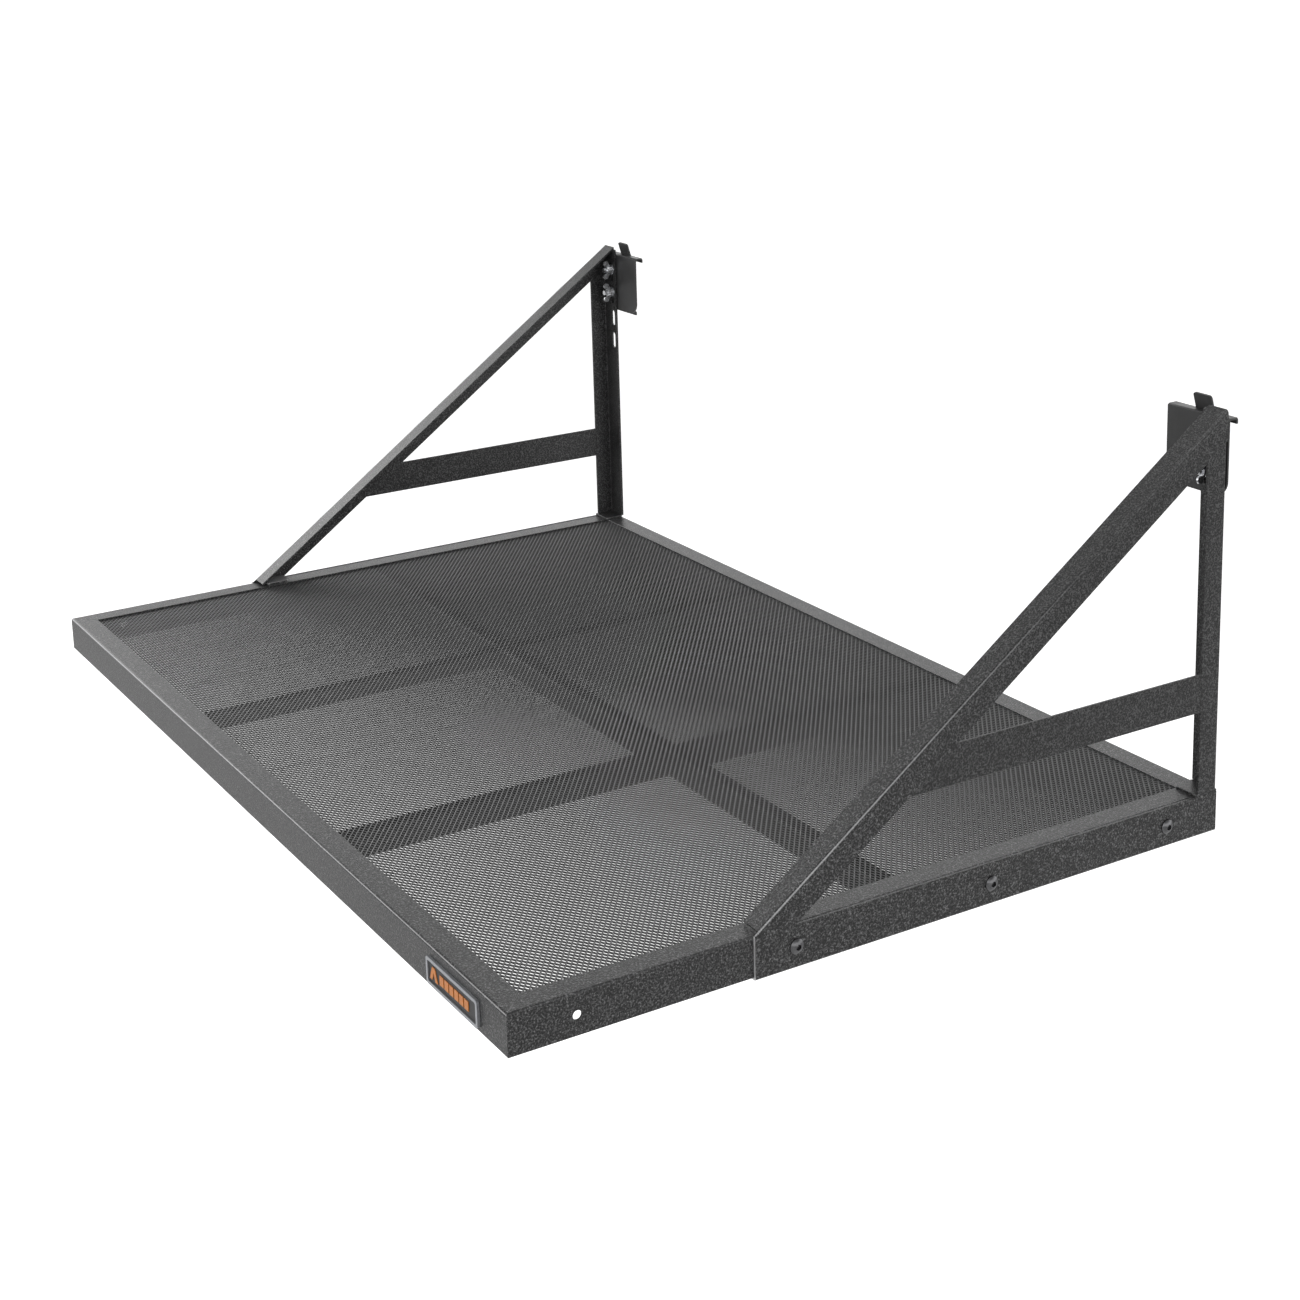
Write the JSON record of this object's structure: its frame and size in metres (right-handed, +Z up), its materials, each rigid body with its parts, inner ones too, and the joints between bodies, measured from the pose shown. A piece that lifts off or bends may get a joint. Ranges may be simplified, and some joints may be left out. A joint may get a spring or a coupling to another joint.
{
  "type": "wall-hung loft shelf",
  "caption": "Wall-hung steel loft shelf: expanded-metal deck in an angle frame, two welded triangular brackets and adjustable hook plates held by wing nuts.",
  "frame": {"origin": "centre of the bounding box's lowest face: level with the undersides of the two bracket rails, on the left-right centre line", "axes": "+X to the right seen from the room, +Y toward the wall, +Z up"},
  "size_m": [1.1552, 0.7768, 0.4224],
  "materials": {
    "frame_coat": "charcoal hammertone powder coat",
    "mesh_coat": "charcoal powder-coated expanded metal",
    "hook_coat": "satin charcoal powder coat",
    "black_fastener": "black oxide, semi-gloss",
    "zinc": "bright zinc plate",
    "badge_rim": "satin silver-grey",
    "badge_black": "matt black",
    "badge_orange": "satin orange"
  },
  "bodies": {
    "frame": {"rim_front": "frame_coat", "rim_back": "frame_coat", "rim_left": "frame_coat", "rim_right": "frame_coat", "support_left": "frame_coat", "support_right": "frame_coat", "cross_brace_left": "frame_coat", "cross_brace_middle": "frame_coat", "cross_brace_right": "frame_coat", "rail_left": "frame_coat", "rail_right": "frame_coat", "post_left": "frame_coat", "post_right": "frame_coat", "diagonal_left": "frame_coat", "diagonal_right": "frame_coat", "strap_left": "frame_coat", "strap_right": "frame_coat", "post_foot_left": "frame_coat", "post_foot_right": "frame_coat", "diagonal_foot_left": "frame_coat", "diagonal_foot_right": "frame_coat", "mesh_panel": "mesh_coat", "rail_screws_left": "black_fastener", "rail_nuts_left": "zinc", "rail_screws_right": "black_fastener", "rail_nuts_right": "zinc", "badge_frame": "badge_rim", "badge_field": "badge_black", "badge_mark": "badge_orange"},
    "hook_left": {"hook_plate_left": "hook_coat", "carriage_bolts_left": "zinc"},
    "washer_left_upper": {"washer_left_upper": "zinc"},
    "nut_left_upper": {"wing_nut_left_upper": "zinc"},
    "washer_left_lower": {"washer_left_lower": "zinc"},
    "nut_left_lower": {"wing_nut_left_lower": "zinc"},
    "hook_right": {"hook_plate_right": "hook_coat", "carriage_bolts_right": "zinc"},
    "washer_right_upper": {"washer_right_upper": "zinc"},
    "nut_right_upper": {"wing_nut_right_upper": "zinc"},
    "washer_right_lower": {"washer_right_lower": "zinc"},
    "nut_right_lower": {"wing_nut_right_lower": "zinc"}
  },
  "joints": [
    {"name": "hook_left_slide", "type": "slide", "parent": "frame", "child": "hook_left", "axis": [0, 0, 1], "range_m": [-0.0124, 0.001]},
    {"name": "washer_left_upper_slide", "type": "slide", "parent": "hook_left", "child": "washer_left_upper", "axis": [0, -1, 0], "range_m": [0, 0.0032]},
    {"name": "nut_left_upper_turn", "type": "hinge", "parent": "washer_left_upper", "child": "nut_left_upper", "pos_m": [-0.552, 0.37145, 0.3849], "axis": [0, -1, 0], "range_deg": [0, 900]},
    {"name": "washer_left_lower_slide", "type": "slide", "parent": "hook_left", "child": "washer_left_lower", "axis": [0, -1, 0], "range_m": [0, 0.0032]},
    {"name": "nut_left_lower_turn", "type": "hinge", "parent": "washer_left_lower", "child": "nut_left_lower", "pos_m": [-0.552, 0.37145, 0.3544], "axis": [0, -1, 0], "range_deg": [0, 900]},
    {"name": "hook_right_slide", "type": "slide", "parent": "frame", "child": "hook_right", "axis": [0, 0, 1], "range_m": [-0.0124, 0.001]},
    {"name": "washer_right_upper_slide", "type": "slide", "parent": "hook_right", "child": "washer_right_upper", "axis": [0, -1, 0], "range_m": [0, 0.0032]},
    {"name": "nut_right_upper_turn", "type": "hinge", "parent": "washer_right_upper", "child": "nut_right_upper", "pos_m": [0.552, 0.37145, 0.3849], "axis": [0, -1, 0], "range_deg": [0, 900]},
    {"name": "washer_right_lower_slide", "type": "slide", "parent": "hook_right", "child": "washer_right_lower", "axis": [0, -1, 0], "range_m": [0, 0.0032]},
    {"name": "nut_right_lower_turn", "type": "hinge", "parent": "washer_right_lower", "child": "nut_right_lower", "pos_m": [0.552, 0.37145, 0.3544], "axis": [0, -1, 0], "range_deg": [0, 900]}
  ],
  "couplings": [
    {"joint": "washer_left_upper_slide", "follows": "nut_left_upper_turn", "m_per_rad": 0.00020213},
    {"joint": "washer_left_lower_slide", "follows": "nut_left_lower_turn", "m_per_rad": 0.00020213},
    {"joint": "washer_right_upper_slide", "follows": "nut_right_upper_turn", "m_per_rad": 0.00020213},
    {"joint": "washer_right_lower_slide", "follows": "nut_right_lower_turn", "m_per_rad": 0.00020213}
  ]
}
